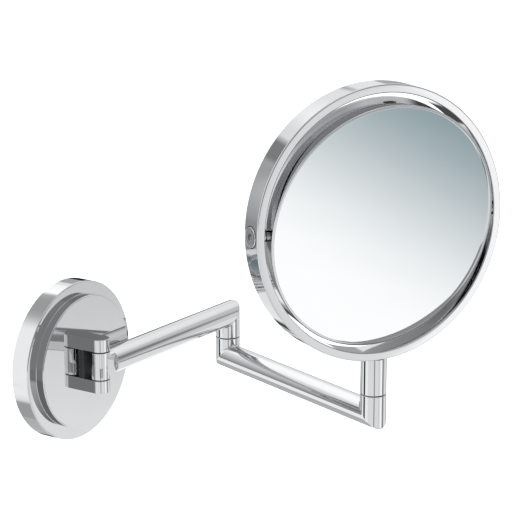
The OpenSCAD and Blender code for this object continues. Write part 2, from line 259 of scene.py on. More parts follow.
def skin(rings, place, closed=True):
    """A mesh of quads between rings of points; closed joins the last ring to the first."""
    mesh = bmesh.new()
    rows = [[mesh.verts.new(place @ p) for p in ring] for ring in rings]
    pairs = list(zip(rows, rows[1:]))
    if closed:
        pairs.append((rows[-1], rows[0]))
    for a, b in pairs:
        for i in range(len(a)):
            j = (i + 1) % len(a)
            mesh.faces.new((a[i], a[j], b[j], b[i]))
    bmesh.ops.remove_doubles(mesh, verts=mesh.verts, dist=1e-7)
    return finished(mesh)


def lathe(profile, place, count=BIG_RING, closed=True):
    """A turned solid: the profile holds (radius, height) points in order round its section."""
    units = around(count)
    return skin([[u * r + Z * h for u in units] for r, h in profile], place, closed)


def rod(radius, low, high, place, count=SMALL_RING, edge=0.0):
    """A plain or rounded-over cylinder up the z axis."""
    if edge:
        profile = [(0, low), *arc(radius - edge, low + edge, edge, -90, 0, 4)]
        profile += [*arc(radius - edge, high - edge, edge, 0, 90, 4), (0, high)]
    else:
        profile = [(0, low), (radius, low), (radius, high), (0, high)]
    return lathe(profile, place, count, closed=False)


def hexagon(across_flats, low, high, place):
    """A hexagonal bar up the z axis, for cutting sockets."""
    return rod(across_flats / math.sqrt(3), low, high, place, count=6)


def block(low, high):
    """A box between two corners, for cutting and joining."""
    mesh = bmesh.new()
    stretch = Matrix.Diagonal((*(high - low), 1))
    bmesh.ops.create_cube(mesh, size=1, matrix=Matrix.Translation((low + high) / 2) @ stretch)
    return finished(mesh)


def washer(place, bore, outer, low, high, edge=THIN_EDGE, count=TUBE_RING):
    """A flat ring up the z axis, with its two outer edges broken."""
    profile = [(bore, low), (outer - edge, low), (outer, low + edge)]
    profile += [(outer, high - edge), (outer - edge, high), (bore, high)]
    return lathe(profile, place, count)


def holder(mesh):
    """A temporary object round a mesh."""
    made = bpy.data.objects.new("work", mesh)
    bpy.context.scene.collection.objects.link(made)
    return made


def worked(mesh, steps):
    """The mesh after modifiers, each given as (type, settings)."""
    work = holder(mesh)
    for kind, settings in steps:
        modifier = work.modifiers.new(kind, kind)
        for key, value in settings.items():
            setattr(modifier, key, value)
    worked_on = work.evaluated_get(bpy.context.evaluated_depsgraph_get())
    made = bpy.data.meshes.new_from_object(worked_on)
    bpy.data.objects.remove(work)
    return made


def combined(mesh, others, operation="DIFFERENCE"):
    """The mesh with others cut away, added or kept in common."""
    tools = [holder(other) for other in others]
    settings = {"operation": operation, "solver": "EXACT"}
    made = worked(mesh, [("BOOLEAN", {**settings, "object": tool}) for tool in tools])
    for tool in tools:
        bpy.data.objects.remove(tool)
    return made


def bevelled(mesh, width):
    """The mesh with its sharp edges rounded over."""
    settings = {"width": width, "segments": BEVEL_STEPS, "limit_method": "ANGLE",
                "angle_limit": BEVEL_ANGLE, "use_clamp_overlap": True}
    return worked(mesh, [("BEVEL", settings)])


def show(node, mesh):
    """The piece that stands for one CAD node: it takes that node's body and finish."""
    mesh.shade_smooth()
    mesh.set_sharp_from_angle(angle=SHARP_ANGLE)
    mesh.materials.clear()
    mesh.materials.append(FINISHES[SLOTS[node]])
    piece = bpy.data.objects.new(node + "_surface", mesh)
    bpy.context.scene.collection.objects.link(piece)
    weights = piece.modifiers.new("weighted normals", "WEIGHTED_NORMAL")
    weights.keep_sharp = True
    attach(piece, frame["nodes"][node]["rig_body"])
    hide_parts(node)


# ---- finishes -------------------------------------------------------------------


class Nodes:
    """A material with a Principled shader, and short calls that add nodes to it."""

    def __init__(self, name, **sockets):
        self.material = bpy.data.materials.new(name)
        self.material.use_nodes = True
        self.tree = self.material.node_tree
        self.shader = self.tree.nodes["Principled BSDF"]
        self.place = self.add("ShaderNodeTexCoord").outputs["Object"]
        for key, value in sockets.items():
            self.shader.inputs[key.replace("_", " ")].default_value = value

    def add(self, kind, links=None, **settings):
        """A node with its settings, and links given as {input: output socket or value}."""
        node = self.tree.nodes.new(kind)
        for key, value in settings.items():
            setattr(node, key, value)
        for key, source in (links or {}).items():
            if isinstance(source, bpy.types.NodeSocket):
                self.tree.links.new(source, node.inputs[key])
            else:
                node.inputs[key].default_value = source
        return node

    def stretched(self, scale):
        """Object coordinates, scaled by axis."""
        mapping = self.add("ShaderNodeMapping", {"Vector": self.place, "Scale": scale})
        return mapping.outputs["Vector"]

    def noise(self, scale, detail=3.0, rough=0.55, vector=None):
        """Noise of about scale cells a metre."""
        links = {"Vector": vector or self.place, "Scale": scale}
        links.update({"Detail": detail, "Roughness": rough})
        return self.add("ShaderNodeTexNoise", links).outputs["Fac"]

    def spread(self, value, low, high, start=0.3, end=0.7):
        """A value from start to end, stretched to run from low to high."""
        links = {"Value": value, "From Min": start, "From Max": end}
        links.update({"To Min": low, "To Max": high})
        return self.add("ShaderNodeMapRange", links).outputs["Result"]

    def blend(self, value, dark, light):
        """Two colours mixed by a value."""
        mix = self.add("ShaderNodeMix", data_type="RGBA")
        self.tree.links.new(value, mix.inputs["Factor"])
        mix.inputs["A"].default_value = (*dark, 1)
        mix.inputs["B"].default_value = (*light, 1)
        return mix.outputs["Result"]

    def set(self, socket, source):
        """Links a value to the shader."""
        self.tree.links.new(source, self.shader.inputs[socket])

    def bump(self, height, strength, distance):
        """Fine relief of the surface."""
        links = {"Height": height, "Strength": strength, "Distance": distance}
        self.set("Normal", self.add("ShaderNodeBump", links).outputs["Normal"])


def polished_chrome():
    """Mirror-polished plating: faint haze, wipe marks and hairline scratches."""
    n = Nodes("polished_chrome", Metallic=1.0)
    haze = n.noise(38, 4)
    n.set("Base Color", n.blend(haze, (0.635, 0.64, 0.647), (0.68, 0.684, 0.688)))
    wipes = n.noise(55, 5, 0.7, n.stretched((1, 1, 9)))
    scratches = n.noise(900, 2, 0.5, n.stretched((1, 1, 0.04)))
    smear = n.spread(wipes, 0.02, 0.045)
    hairlines = n.spread(scratches, 0, 0.012, 0.62, 0.8)
    marks = n.add("ShaderNodeMath", {0: smear, 1: hairlines}, operation="ADD")
    n.set("Roughness", marks.outputs[0])
    n.bump(n.noise(420, 2), 0.012, 0.02 * MM)
    return n.material


def mirror_glass():
    """Silver behind clear glass, with a trace of dust."""
    n = Nodes("mirror_glass", Metallic=1.0, Coat_Weight=0.25, Coat_Roughness=0.01, Coat_IOR=1.5)
    cloud = n.noise(14, 3)
    n.set("Base Color", n.blend(cloud, (0.9, 0.915, 0.92), (0.915, 0.93, 0.935)))
    dust = n.noise(260, 4, 0.7)
    n.set("Roughness", n.spread(dust, 0.004, 0.018, 0.45, 0.75))
    return n.material


def plated_steel():
    """Zinc-plated sheet with a satin, slightly mottled finish."""
    n = Nodes("plated_steel", Metallic=1.0)
    mottle = n.noise(120, 5, 0.65)
    n.set("Base Color", n.blend(mottle, (0.5, 0.51, 0.53), (0.68, 0.69, 0.7)))
    n.set("Roughness", n.spread(n.noise(300, 3), 0.26, 0.42))
    n.bump(mottle, 0.08, 0.05 * MM)
    return n.material


def dark_steel():
    """Black-oxide screws, worn a little on the high spots."""
    n = Nodes("dark_steel", Metallic=1.0)
    wear = n.noise(700, 4, 0.6)
    n.set("Base Color", n.blend(wear, (0.05, 0.05, 0.055), (0.13, 0.13, 0.135)))
    n.set("Roughness", n.spread(wear, 0.3, 0.5))
    n.bump(wear, 0.1, 0.03 * MM)
    return n.material


def turned_brass():
    """Brass with fine turning lines."""
    n = Nodes("turned_brass", Metallic=1.0)
    lines = n.noise(60, 2, 0.5, n.stretched((1, 1, 60)))
    n.set("Base Color", n.blend(lines, (0.7, 0.53, 0.27), (0.83, 0.67, 0.38)))
    n.set("Roughness", n.spread(lines, 0.18, 0.34))
    n.bump(lines, 0.15, 0.03 * MM)
    return n.material


def moulded(name, dark, light, low, high):
    """Moulded or cut plastic and rubber with a fine matt grain."""
    n = Nodes(name)
    grain = n.noise(900, 3, 0.6)
    n.set("Base Color", n.blend(n.noise(60, 3), dark, light))
    n.set("Roughness", n.spread(grain, low, high))
    n.bump(grain, 0.12, 0.04 * MM)
    return n.material


NYLON = ((0.016, 0.016, 0.018), (0.03, 0.03, 0.033))
ACETAL = ((0.78, 0.78, 0.76), (0.86, 0.86, 0.84))
RUBBER = ((0.012, 0.012, 0.012), (0.028, 0.028, 0.028))

FINISHES = {
    "polished_chrome": polished_chrome(),
    "mirror_glass": mirror_glass(),
    "plated_steel": plated_steel(),
    "dark_steel": dark_steel(),
    "brass": turned_brass(),
    "black_nylon": moulded("black_nylon", *NYLON, 0.42, 0.6),
    "white_acetal": moulded("white_acetal", *ACETAL, 0.3, 0.42),
    "black_rubber": moulded("black_rubber", *RUBBER, 0.6, 0.8),
}

# ---- wall mount -----------------------------------------------------------------


def rosette():
    """The hollow rosette: a disc with a raised step, turned in one piece."""
    step_bore, bore = STEP_RADIUS - SKIN, rosette_radius - SKIN
    profile = [(0, face - SKIN), (step_bore, face - SKIN), (step_bore, base_height - SKIN)]
    profile += [(bore, base_height - SKIN), (bore, FINE_EDGE), (bore + FINE_EDGE, 0)]
    profile += [(rosette_radius - FINE_EDGE, 0), (rosette_radius, FINE_EDGE)]
    profile += arc(rosette_radius - EDGE, base_height - EDGE, EDGE, 0, 90)
    profile += arc(STEP_RADIUS + FINE_EDGE, base_height + FINE_EDGE, FINE_EDGE, 270, 180, 3)
    profile += [*arc(STEP_RADIUS - EDGE, face - EDGE, EDGE, 0, 90), (0, face)]
    body = lathe(profile, on_wall, BIG_RING, closed=False)
    screw = size("clevis_screws").x / 2 * SCREW_SHANK
    spots = [on_wall @ Matrix.Translation(Y * lug_middle * side) for side in (-1, 1)]
    holes = [rod(screw, face - 2 * SKIN, face + SKIN, spot) for spot in spots]
    rim_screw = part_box("rosette_grub_screw")
    place = placed((rim_screw[0] + rim_screw[1]) / 2, -Z)
    holes.append(rod(grub_radius * GRUB_PLAY, -2 * SKIN, 2 * SKIN, place))
    return combined(body, holes)


def wall_plate():
    """The plate under the rosette, with a clamping groove and countersunk holes."""
    rim, top = plate_radius, plate_height
    groove = rim - 2 * MM
    chamfer = 0.8 * MM
    profile = [(0, 0), (rim - FINE_EDGE, 0), (rim, FINE_EDGE), (rim, chamfer)]
    profile += [(groove, 2 * chamfer), (groove, top - 2 * chamfer), (rim, top - chamfer)]
    profile += [(rim, top - FINE_EDGE), (rim - FINE_EDGE, top), (0, top)]
    hole, sink, depth = 2.6 * MM, 5.2 * MM, 2.6 * MM
    cutter = [(0, -CUT), (hole + FINE_EDGE, -CUT), (hole + FINE_EDGE, 0), (hole, FINE_EDGE)]
    cutter += [(hole, top - depth), (sink, top), (sink, top + CUT), (0, top + CUT)]
    turns = (2 * math.pi * i / SCREW_COUNT for i in range(SCREW_COUNT))
    spots = [Vector((math.sin(a), -math.cos(a), 0)) * SCREW_CIRCLE for a in turns]
    places = [on_wall @ Matrix.Translation(spot) for spot in spots]
    holes = [lathe(cutter, place, SMALL_RING, closed=False) for place in places]
    return combined(lathe(profile, on_wall, BIG_RING, closed=False), holes)


def clevis_outline(radius, back):
    """The clevis seen from above: a bar from its back face out to a round nose."""
    turns = (math.pi * i / NOSE_STEPS for i in range(NOSE_STEPS + 1))
    nose = [Vector((radius * math.cos(a), pivot.y - radius * math.sin(a), 0)) for a in turns]
    return [Vector((radius, back, 0)), *nose, Vector((-radius, back, 0))]


def extruded(outline, low, high):
    """An upright solid over an outline."""
    mesh = bmesh.new()
    floor_points = [mesh.verts.new(p + Z * low) for p in outline]
    roof_points = [mesh.verts.new(p + Z * high) for p in outline]
    mesh.faces.new(floor_points)
    mesh.faces.new(roof_points)
    for i in range(len(outline)):
        j = (i + 1) % len(outline)
        mesh.faces.new((floor_points[i], floor_points[j], roof_points[j], roof_points[i]))
    return finished(mesh)


def clevis_bracket():
    """Two round-nosed lugs on a web, bored for the pivot pin."""
    half = clevis_height / 2
    spare = 3 * MM     # the bar runs on into the rosette, so that its back isn't bevelled
    body = extruded(clevis_outline(clevis_radius, spare - face), -half, half)
    reach = 2 * clevis_height
    slot = slot_height / 2
    gap = block(Vector((-reach, -reach, -slot)), Vector((reach, -face - WEB, slot)))
    body = bevelled(combined(body, [gap]), SMALL_EDGE)
    pin_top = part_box("clevis_pivot_pin")[1].z
    # the web is narrowed to make room for the black channel that paints the shade between the
    # lugs
    web_side = clevis_radius - PAINTED_SHADE_LINER_WALL
    web_front = -face - 2 * WEB
    cutters = [
        rod(pin_radius, -half - CUT, pin_top, Matrix.Translation(pivot)),
        block(Vector((-reach, -face, -reach)), Vector((reach, reach, reach))),
        block(Vector((web_side, web_front, -slot)), Vector((reach, reach, slot))),
        block(Vector((-reach, web_front, -slot)), Vector((-web_side, reach, slot))),
    ]
    return combined(body, cutters)


def clevis_liner():
    """The black nylon channel round the web between the lugs: painted shade, a dark part put
    where the gap between the lugs is in shade.
    """
    # painted shade: this black channel darkens the gap between the lugs
    low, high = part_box("clevis_liner")
    inside = block(low + Vector((PAINTED_SHADE_LINER_WALL, PAINTED_SHADE_LINER_WALL, -CUT)), high + Vector((-PAINTED_SHADE_LINER_WALL, CUT, CUT)))
    return bevelled(combined(block(low, high), [inside]), THIN_EDGE)


def pivot_washer(node):
    """A thin bearing washer above or below the knuckle."""
    low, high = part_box(node)
    return washer(Matrix.Translation(pivot), pin_radius, size(node).x / 2, low.z, high.z)


def pin_grub_screw():
    """The screw that closes the pin's bore from below."""
    low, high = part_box("pin_grub_screw")
    place = Matrix.Translation(pivot)
    across_flats, depth = 4 * MM, 2 * MM
    body = rod(pin_radius, low.z, high.z, place, edge=SMALL_EDGE)
    return combined(body, [hexagon(across_flats, low.z - CUT, low.z + depth, place)])


# ---- arms -----------------------------------------------------------------------


def square_end(radius, edge, height, way):
    """Rings round the edge of a tube end that is cut square; a bore has a negative edge."""
    rings = []
    for i in range(SQUARE_STEPS + 1):
        turn = math.radians(90 * i / SQUARE_STEPS)
        out = radius - edge * (1 - math.cos(turn))
        up = height - way * abs(edge) * (1 - math.sin(turn))
        rings.append([u * out + Z * up for u in around(TUBE_RING)])
    return rings


def mitred_end(radius, height, toward, way):
    """Rings round the edge of a tube end that is mitred into the next tube."""
    units = around(TUBE_RING)
    rings = []
    for i in range(MITRE_STEPS + 1):
        turn = math.radians(45 * i / MITRE_STEPS)
        shift = toward * MITRE_ROUND * (1 - math.cos(turn))
        short = MITRE_ROUND * (1 - math.sin(turn))
        slope = [height - way * (u.dot(toward) * radius + short) for u in units]
        rings.append([u * radius + shift + Z * up for u, up in zip(units, slope)])
    return rings


def tube_wall(radius, low, high, edge):
    """Rings up one wall of a tube.

    An end is a height where the tube is cut square, or (height, direction) where it is
    mitred into the next tube, which leaves the axis at that height in that direction.
    """
    def end(value, way):
        if isinstance(value, tuple):
            return mitred_end(radius, *value, way)
        return square_end(radius, edge, value, way)

    return end(low, -1)[::-1] + end(high, 1)


def tube(place, low, high):
    """A tube up the z axis of a place; its ends are as tube_wall says."""
    outside = tube_wall(tube_radius, low, high, SMALL_EDGE)
    inside = tube_wall(bore_radius, low, high, -FINE_EDGE)
    return skin(outside + inside[::-1], place)


def turned(place, direction):
    """A world direction in a place's own axes."""
    return place.to_3x3().inverted() @ direction


def neck_screw_place(joint):
    """Where a stud's locking screw runs: from the stud's neck out to the back of the tube."""
    return placed(joint + Z * (riser_top + NECK_RISE), Y if joint is elbow else ring_back)


def neck_hole(joint):
    """Cutter for a stud's locking screw."""
    return rod(grub_radius, NECK_RADIUS, 2 * tube_radius, neck_screw_place(joint))


def inner_arm_knuckle():
    """The eye that turns between the lugs, with flats where it meets the tube."""
    along, upright = placed(pivot, X), Matrix.Translation(pivot)
    half = clevis_radius
    barrel = rod(half, -knuckle_height / 2, knuckle_height / 2, upright, TUBE_RING)
    neck = rod(tube_radius, 0, tube_start, along, TUBE_RING)
    corner = Vector((-half, -half, -2 * tube_radius))
    far_corner = Vector((2 * tube_start, half, 2 * tube_radius))
    neck = combined(neck, [block(pivot + corner, pivot + far_corner)], "INTERSECT")
    body = bevelled(combined(barrel, [neck], "UNION"), SMALL_EDGE)
    plug_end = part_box("inner_arm_knuckle")[1].x
    plug = rod(bore_radius, tube_start - PLUG_LAP, plug_end, along, edge=SMALL_EDGE)
    bore = rod(knuckle_bore, -knuckle_height, knuckle_height, upright)
    return combined(combined(body, [plug], "UNION"), [bore])


def inner_arm_tube():
    """The arm from the knuckle to the mitre above the elbow."""
    place = placed(pivot, X)
    return tube(place, tube_start, (elbow.x - pivot.x, turned(place, -Z)))


def inner_arm_drop():
    """The short tube that comes down from the mitre to the elbow."""
    place = Matrix.Translation(Vector((elbow.x, elbow.y, 0)))
    return combined(tube(place, drop_end, (0.0, -X)), [neck_hole(elbow)])


def riser(joint, toward):
    """A short tube between the outer arm's mitre and a joint."""
    place = Matrix.Translation(Vector((joint.x, joint.y, 0)))
    return tube(place, (outer_axis_z, toward), riser_top)


def outer_arm_tube():
    """The lower arm, mitred up into a riser at both ends."""
    place = placed(Vector((elbow.x, elbow.y, outer_axis_z)), outer_along)
    up = turned(place, Z)
    return tube(place, (0.0, up), ((post - elbow).length, up))


def joint_washer(joint, node):
    """The bearing washer between a drop and a riser."""
    low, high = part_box(node)
    place = Matrix.Translation(Vector((joint.x, joint.y, 0)))
    edge = 0.12 * MM
    return washer(place, STUD_RADIUS, size(node).x / 2, low.z, high.z, edge)


def locking_screw(joint):
    """A grub screw with a hexagon socket, at a stud's neck."""
    place = neck_screw_place(joint)
    nose, shoulder, top = 4.2 * MM, STUD_RADIUS + 0.6 * MM, tube_radius - 0.3 * MM
    point, corner = 1 * MM, 0.1 * MM
    profile = [(0, nose), (point - corner, nose), (point, nose + corner), (point, shoulder)]
    profile += [(grub_radius - FINE_EDGE, shoulder), (grub_radius, shoulder + FINE_EDGE)]
    profile += [(grub_radius, top - FINE_EDGE), (grub_radius - FINE_EDGE, top), (0, top)]
    body = lathe(profile, place, SMALL_RING, closed=False)
    across_flats, depth = 2 * MM, 1.8 * MM
    return combined(body, [hexagon(across_flats, top - depth, top + CUT, place)])


# ---- ring frame -----------------------------------------------------------------


ring_foot = in_ring @ Matrix.Translation(-Z * ring_radius)
SADDLE_RINGS = (0, 0.25, 0.5, 0.75, 0.95, 1)   # radii of the saddle's rings, as shares


def stud_socket():
    """Cutter for the blind stud that joins the ring to its post."""
    return rod(RING_STUD, -RING_STUD_DOWN, RING_STUD_UP, ring_foot)


def saddle(radius, across):
    """Points on a circle about the post, brought up to the ring's outer wall."""
    points = []
    for unit in around(TUBE_RING):
        drop = math.sqrt(ring_radius ** 2 - (unit * radius).dot(across) ** 2)
        points.append(unit * radius + Z * (ring_centre.z - drop))
    return points


def mirror_post():
    """The post, bored for its stud below and saddled to the ring above."""
    place = Matrix.Translation(Vector((post.x, post.y, 0)))
    bore = STUD_RADIUS + RUN_GAP
    bore_top = stud_top + 0.5 * MM
    foot = arc(tube_radius - SMALL_EDGE, drop_end + SMALL_EDGE, SMALL_EDGE, 0, -90, 4)
    foot += [(bore + FINE_EDGE, drop_end), (bore, drop_end + FINE_EDGE)]
    foot += [(bore, bore_top), (0, bore_top)]
    rings = [saddle(tube_radius * share, ring_across) for share in SADDLE_RINGS]
    rings += [[u * radius + Z * height for u in around(TUBE_RING)] for radius, height in foot]
    body = skin(rings, place, closed=False)
    return combined(body, [neck_hole(post), stud_socket()])


def ring_frame():
    """The round frame, counterbored at both sides for the pivot plugs."""
    outer, middle = ring_radius - RING_EDGE, ring_half - RING_EDGE
    profile = arc(outer, -middle, RING_EDGE, -90, 0) + arc(outer, middle, RING_EDGE, 0, 90)
    profile += arc(ring_bore + EDGE, ring_half - EDGE, EDGE, 90, 180, 4)
    profile += arc(ring_bore + EDGE, -ring_half + EDGE, EDGE, 180, 270, 4)
    body = lathe(profile, in_ring @ to_front)
    plug_bore = plug_radius + 0.1 * MM
    seat = ring_radius - PLUG_HEAD + PLUG_PROUD
    chamfer = 0.12 * MM
    chamfer_low, chamfer_high = ring_radius - 1.6 * chamfer, ring_radius + 0.4 * chamfer
    inside, outside = ring_bore - 2 * MM, ring_radius + 2 * MM
    step = [(0, inside), (PLUG_SEAT_BORE, inside), (PLUG_SEAT_BORE, seat), (plug_bore, seat)]
    step += [(plug_bore, chamfer_low), (plug_bore + 2 * chamfer, chamfer_high)]
    step += [(plug_bore + 2 * chamfer, outside), (0, outside)]
    places = [in_ring @ to_side(side) for side in SIDES.values()]
    cutters = [lathe(step, place, TUBE_RING, closed=False) for place in places]
    return combined(body, [*cutters, stud_socket()])


def pivot_plug(side):
    """A plug with a turned groove and a hexagon socket, whose pin carries the mirror."""
    place = in_ring @ to_side(side)
    crown = ring_radius + PLUG_PROUD
    seat = crown - PLUG_HEAD
    tip = body_radius - 9.5 * MM
    head, round_over, shoulder = seal_bore, 0.5 * MM, PLUG_SEAT_BORE
    groove, wide, deep = 5.2 * MM, 0.5 * MM, 0.4 * MM
    profile = [(0, tip), (TILT_PIN - SMALL_EDGE, tip), (TILT_PIN, tip + SMALL_EDGE)]
    profile += [(TILT_PIN, ring_bore), (shoulder, ring_bore), (shoulder, seat)]
    profile += [(plug_radius, seat), (plug_radius, seal_low), (head, seal_low)]
    profile += arc(head - round_over, crown - round_over, round_over, 0, 90, 4)
    profile += [(groove + wide, crown), (groove + wide, crown - deep)]
    profile += [(groove, crown - deep), (groove, crown), (0, crown)]
    body = lathe(profile, place, TUBE_RING, closed=False)
    across_flats, depth = 5.2 * MM, 2.6 * MM
    return combined(body, [hexagon(across_flats, crown - depth, crown + CUT, place)])


def plug_seal(side):
    """The black O-ring round a plug's head."""
    half = (seal_radius - seal_bore) / 2
    top = ring_radius - 0.1 * MM
    profile = [(seal_bore, seal_low), (seal_radius, seal_low)]
    profile += arc(seal_bore + half, top - half, half, 0, 180, 8)
    return lathe(profile, in_ring @ to_side(side), TUBE_RING)


def tilt_washer(side):
    """The friction washer between the ring and the drum."""
    low, high = body_radius + 0.2 * MM, ring_bore - 0.3 * MM
    outer, edge = size("left_tilt_washer").z / 2, 0.3 * MM
    return washer(in_ring @ to_side(side), TILT_PIN, outer, low, high, edge, SMALL_RING)


# ---- mirror drum ----------------------------------------------------------------


def drum_shell():
    """The thin drum, with a finger notch on top and a bore for each tilt bush."""
    front, back = shell_front, -shell_back
    profile = [(shell_bore, back), (body_radius, back), (body_radius, front), (shell_bore, front)]
    body = lathe(profile, in_body @ to_front)
    reach = 14 * MM
    bush = (tilt_bush, shell_bore - reach, shell_bore + reach)
    cutters = [rod(*bush, in_body @ to_side(side)) for side in SIDES.values()]
    long, wide = NOTCH
    half_straight, round_end = (long - wide) / 2, wide / 2
    turns = [math.pi * i / NOTCH_STEPS for i in range(NOTCH_STEPS + 1)]
    right = [(half_straight + round_end * math.sin(a), -round_end * math.cos(a)) for a in turns]
    outline = [Vector((x, y, 0)) for x, y in right + [(-x, -y) for x, y in right]]
    notch = extruded(outline, -2 * MM, 4 * MM)
    notch.transform(in_body @ Matrix.Translation(Vector((0, -NOTCH_AT, shell_bore))))
    return combined(body, [*cutters, notch])


def front_bezel():
    """The narrow front bezel that holds the plain glass."""
    lip = body_radius - BEZEL_LIP
    sunk = BODY_FRONT - GLASS_SUNK
    profile = [(shell_bore, shell_front), (body_radius, shell_front)]
    profile += arc(body_radius - EDGE, BODY_FRONT - EDGE, EDGE, 0, 90)
    profile += arc(lip + RIM_LINE, BODY_FRONT - RIM_LINE, RIM_LINE, 90, 180, 3)
    profile += [(lip, sunk), (shell_bore, sunk)]
    return lathe(profile, in_body @ to_front)


def rear_rim():
    """The wider rear rim, rolled over the magnifying glass."""
    lip = body_radius - RIM_LIP
    crown, seat, back = -BODY_BACK, GLASS_SUNK - BODY_BACK, -shell_back
    profile = [(shell_bore, seat), (lip, seat), (lip, crown + RIM_LINE), (lip + RIM_LINE, crown)]
    profile += arc(body_radius - RIM_EDGE, crown + RIM_EDGE, RIM_EDGE, -90, 0, 8)
    profile += [(body_radius, back - RIM_LINE), (body_radius - RIM_LINE, back)]
    return lathe([*profile, (shell_bore, back)], in_body @ to_front)


def plain_mirror_glass():
    """The flat glass, with ground edges."""
    top = BODY_FRONT - GLASS_SUNK
    foot, ground = top - GLASS, 0.5 * MM
    profile = [(0, foot), (glass_radius - ground, foot), (glass_radius, foot + ground)]
    profile += [(glass_radius, top - ground), (glass_radius - ground, top), (0, top)]
    return lathe(profile, in_body @ to_front, closed=False)


def magnifying_mirror_glass():
    """The dished glass on the back face."""
    rim = GLASS_SUNK - BODY_BACK
    radii = [glass_radius * i / DISH_STEPS for i in range(DISH_STEPS + 1)]
    dish = [(r, rim + (glass_radius ** 2 - r ** 2) / (2 * MAGNIFIER_RADIUS)) for r in radii]
    profile = dish + [(r, h + GLASS) for r, h in reversed(dish)]
    return lathe(profile, in_body @ to_front, closed=False)


# ---- build ----------------------------------------------------------------------

for make in (rosette, wall_plate, clevis_bracket, clevis_liner):
    show(make.__name__, make())
for node in ("upper_pivot_washer", "lower_pivot_washer"):
    show(node, pivot_washer(node))
for make in (pin_grub_screw, inner_arm_knuckle, inner_arm_tube, inner_arm_drop):
    show(make.__name__, make())
show("outer_arm_elbow_riser", riser(elbow, outer_along))
show("outer_arm_tube", outer_arm_tube())
show("outer_arm_post_riser", riser(post, -outer_along))
show("elbow_washer", joint_washer(elbow, "elbow_washer"))
show("post_washer", joint_washer(post, "post_washer"))
show("elbow_grub_screw", locking_screw(elbow))
show("post_grub_screw", locking_screw(post))
show("mirror_post", mirror_post())
show("ring_frame", ring_frame())
for make in (pivot_plug, plug_seal, tilt_washer):
    for name, side in SIDES.items():
        show(name + "_" + make.__name__, make(side))
for make in (drum_shell, front_bezel, rear_rim, plain_mirror_glass, magnifying_mirror_glass):
    show(make.__name__, make())

# The CAD nodes that stay as they are take the same finishes.
for node, cad_object in frame["nodes"].items():
    cad_object.data.materials.clear()
    cad_object.data.materials.append(FINISHES[SLOTS[node]])

# ---- camera ---------------------------------------------------------------------

VIEW_AZIMUTH = math.radians(-56.1)
VIEW_ELEVATION = math.radians(14.34)
VIEW_DISTANCE = 1.4224
VIEW_LENS = 139.6
VIEW_SENSOR = 36
AIM = Vector((-0.0009, 0.0034, 0.0045))   # from the middle of the object's box

scene = bpy.context.scene
low, high = cad_bounds
aim = (low + high) / 2 + AIM
back = Vector((
    math.sin(VIEW_AZIMUTH) * math.cos(VIEW_ELEVATION),
    -math.cos(VIEW_AZIMUTH) * math.cos(VIEW_ELEVATION),
    math.sin(VIEW_ELEVATION),
))
camera = bpy.data.objects.new("camera", bpy.data.cameras.new("camera"))
scene.collection.objects.link(camera)
camera.data.lens = VIEW_LENS
camera.data.sensor_width = VIEW_SENSOR
camera.location = aim + back * VIEW_DISTANCE
camera.rotation_mode = "QUATERNION"
camera.rotation_quaternion = (-back).to_track_quat("-Z", "Y")
scene.camera = camera

# ---- studio ---------------------------------------------------------------------
# A light tent that only reflections see, a pale floor, and soft lamps for the floor and
# the matt parts. Directions are seen from the object: azimuth 0 is the room (-y), 90 is +x.

TENT_RADIUS = 40.0
TENT_STEP = 1.0            # degrees between the points of the tent
TENT_GREY = 0.78           # brightness where there is no panel
TENT_POWER = 1.32         # how strongly the tent shines
TENT_TINT = (0.99, 1.0, 1.01)
# Each panel's azimuths, elevations, softness of its edges across and up, all in degrees, and
# its brightness at the bottom and the top. A later panel covers an earlier one.
TENT_PANELS = (
    ((-172, -112), (-34, 56), (10, 8), (0.93, 0.93)),    # the pale side, left and behind
    ((-108, 46), (-6, 58), (9, 3), (0.30, 0.30)),        # the dim room above eye level
    ((40, 54), (6, 50), (4, 4), (0.22, 0.25)),
    ((56, 100), (-6, 28), (5, 5), (0.50, 0.58)),
    ((46, 58), (-19, -13), (3, 4), (0.80, 0.56)),
    ((98, 184), (-8, 24), (4, 3), (0.31, 0.40)),         # the wall side
    ((118, 126), (10, 26), (2, 2), (0.75, 0.80)),
    ((128, 150), (24, 31), (3, 2), (0.78, 0.85)),
    ((140, 225), (52, 64), (6, 16), (0.36, 0.36)),
    ((128, 192), (32, 44), (5, 3), (1.0, 1.12)),         # light over the wall side
    ((72, 106), (36, 48), (5, 4), (0.86, 0.95)),
    ((164, 178), (20, 25), (5, 2), (0.22, 0.22)),
    ((-178, -154), (-15, 32), (4, 2), (0.22, 0.84)),
    ((98, 116), (-44, -35), (3, 3), (1.05, 1.0)),        # low on the right
    ((98, 106), (-33, -28), (3, 2), (1.05, 1.0)),
    ((114, 128), (-33, -27), (3, 2), (0.64, 0.64)),
    ((98, 109), (-26, -9), (3, 2), (0.80, 0.64)),
    ((110, 115), (-26, -10), (2, 2), (0.50, 0.74)),
    ((116, 122), (-19, -9), (2, 2), (1.1, 1.1)),
    ((123, 126), (-15, -9), (1.5, 2), (0.52, 0.40)),
    ((78, 94), (-19, -10), (3, 3), (0.36, 0.36)),
    ((173, 186), (-22, -8), (3, 3), (0.28, 0.28)),
    ((-14, -3), (-20, -8), (3, 3), (0.70, 0.70)),
    ((-152, -137), (-24, -9), (4, 3), (0.03, 0.03)),     # black, for dark outlines
    ((127, 139), (-15, 5), (1.5, 2), (0.01, 0.01)),
    ((126, 138), (-33, -18), (3, 3), (0.06, 0.06)),
    ((139, 147), (-42, -36), (2, 2), (0.02, 0.02)),
    ((130, 184), (-55, -36), (6, 4), (0.45, 0.45)),
    ((184, 225), (-60, -44), (6, 4), (0.36, 0.36)),
    ((4, 22), (-20, -6), (1.5, 1.5), (1.03, 1.03)),      # low in the room
    ((25, 35), (-26, -8), (4, 4), (0.20, 0.20)),
    ((37, 45), (-24, -8), (2, 3), (0.50, 0.50)),
    ((-54, -47), (-26, -8), (2, 3), (0.27, 0.27)),
)
